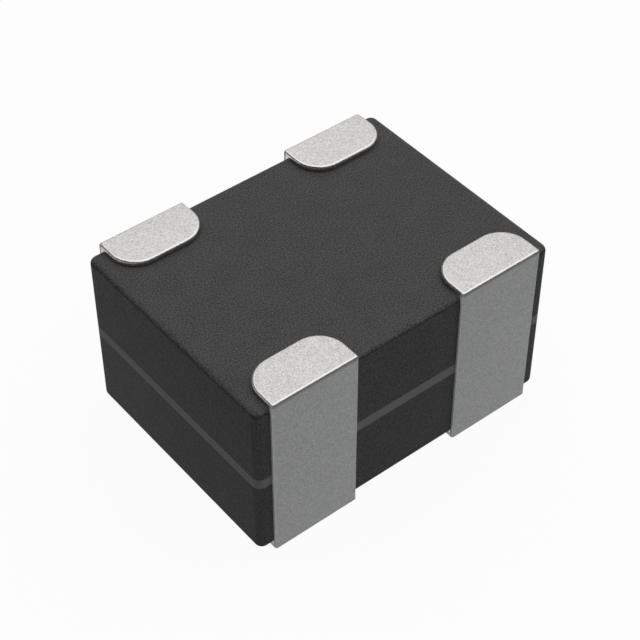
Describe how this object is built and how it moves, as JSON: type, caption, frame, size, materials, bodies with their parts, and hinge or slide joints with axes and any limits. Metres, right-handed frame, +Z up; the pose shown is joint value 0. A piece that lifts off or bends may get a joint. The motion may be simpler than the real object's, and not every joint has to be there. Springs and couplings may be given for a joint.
{
  "type": "common mode choke",
  "caption": "Tiny surface-mount common mode choke: a dark ferrite body with a film coil line at mid height and D-shaped tin terminals clasping its long sides.",
  "frame": {"origin": "centre of the bare upper face, where a placement nozzle picks the chip up; the solder faces lie 0.465 mm below it", "axes": "+Z up, away from the board; +X along the length; +Y across it, from the front pair of terminals to the rear pair"},
  "size_m": [0.0008, 0.0006, 0.0005],
  "materials": {
    "ferrite": "dark grey sintered ferrite, tumbled, matt with a fine grain",
    "film": "grey insulating film, cut flush with the plates",
    "adhesive": "grey cured adhesive",
    "magnetic_resin": "resin filled with magnetic powder",
    "copper": "plated copper",
    "tin": "matt tin plating with a fine grain"
  },
  "bodies": {
    "root": {"upper_ferrite": "ferrite", "lower_ferrite": "ferrite", "base_film": "film", "lead_film": "film", "middle_film": "film", "coil_film": "film", "cover_film": "film", "adhesive_layer": "adhesive", "core_post": "magnetic_resin", "lower_lead": "copper", "lower_coil": "copper", "upper_coil": "copper", "upper_lead": "copper", "terminal_front_left": "tin", "terminal_front_right": "tin", "terminal_rear_left": "tin", "terminal_rear_right": "tin"}
  },
  "joints": []
}
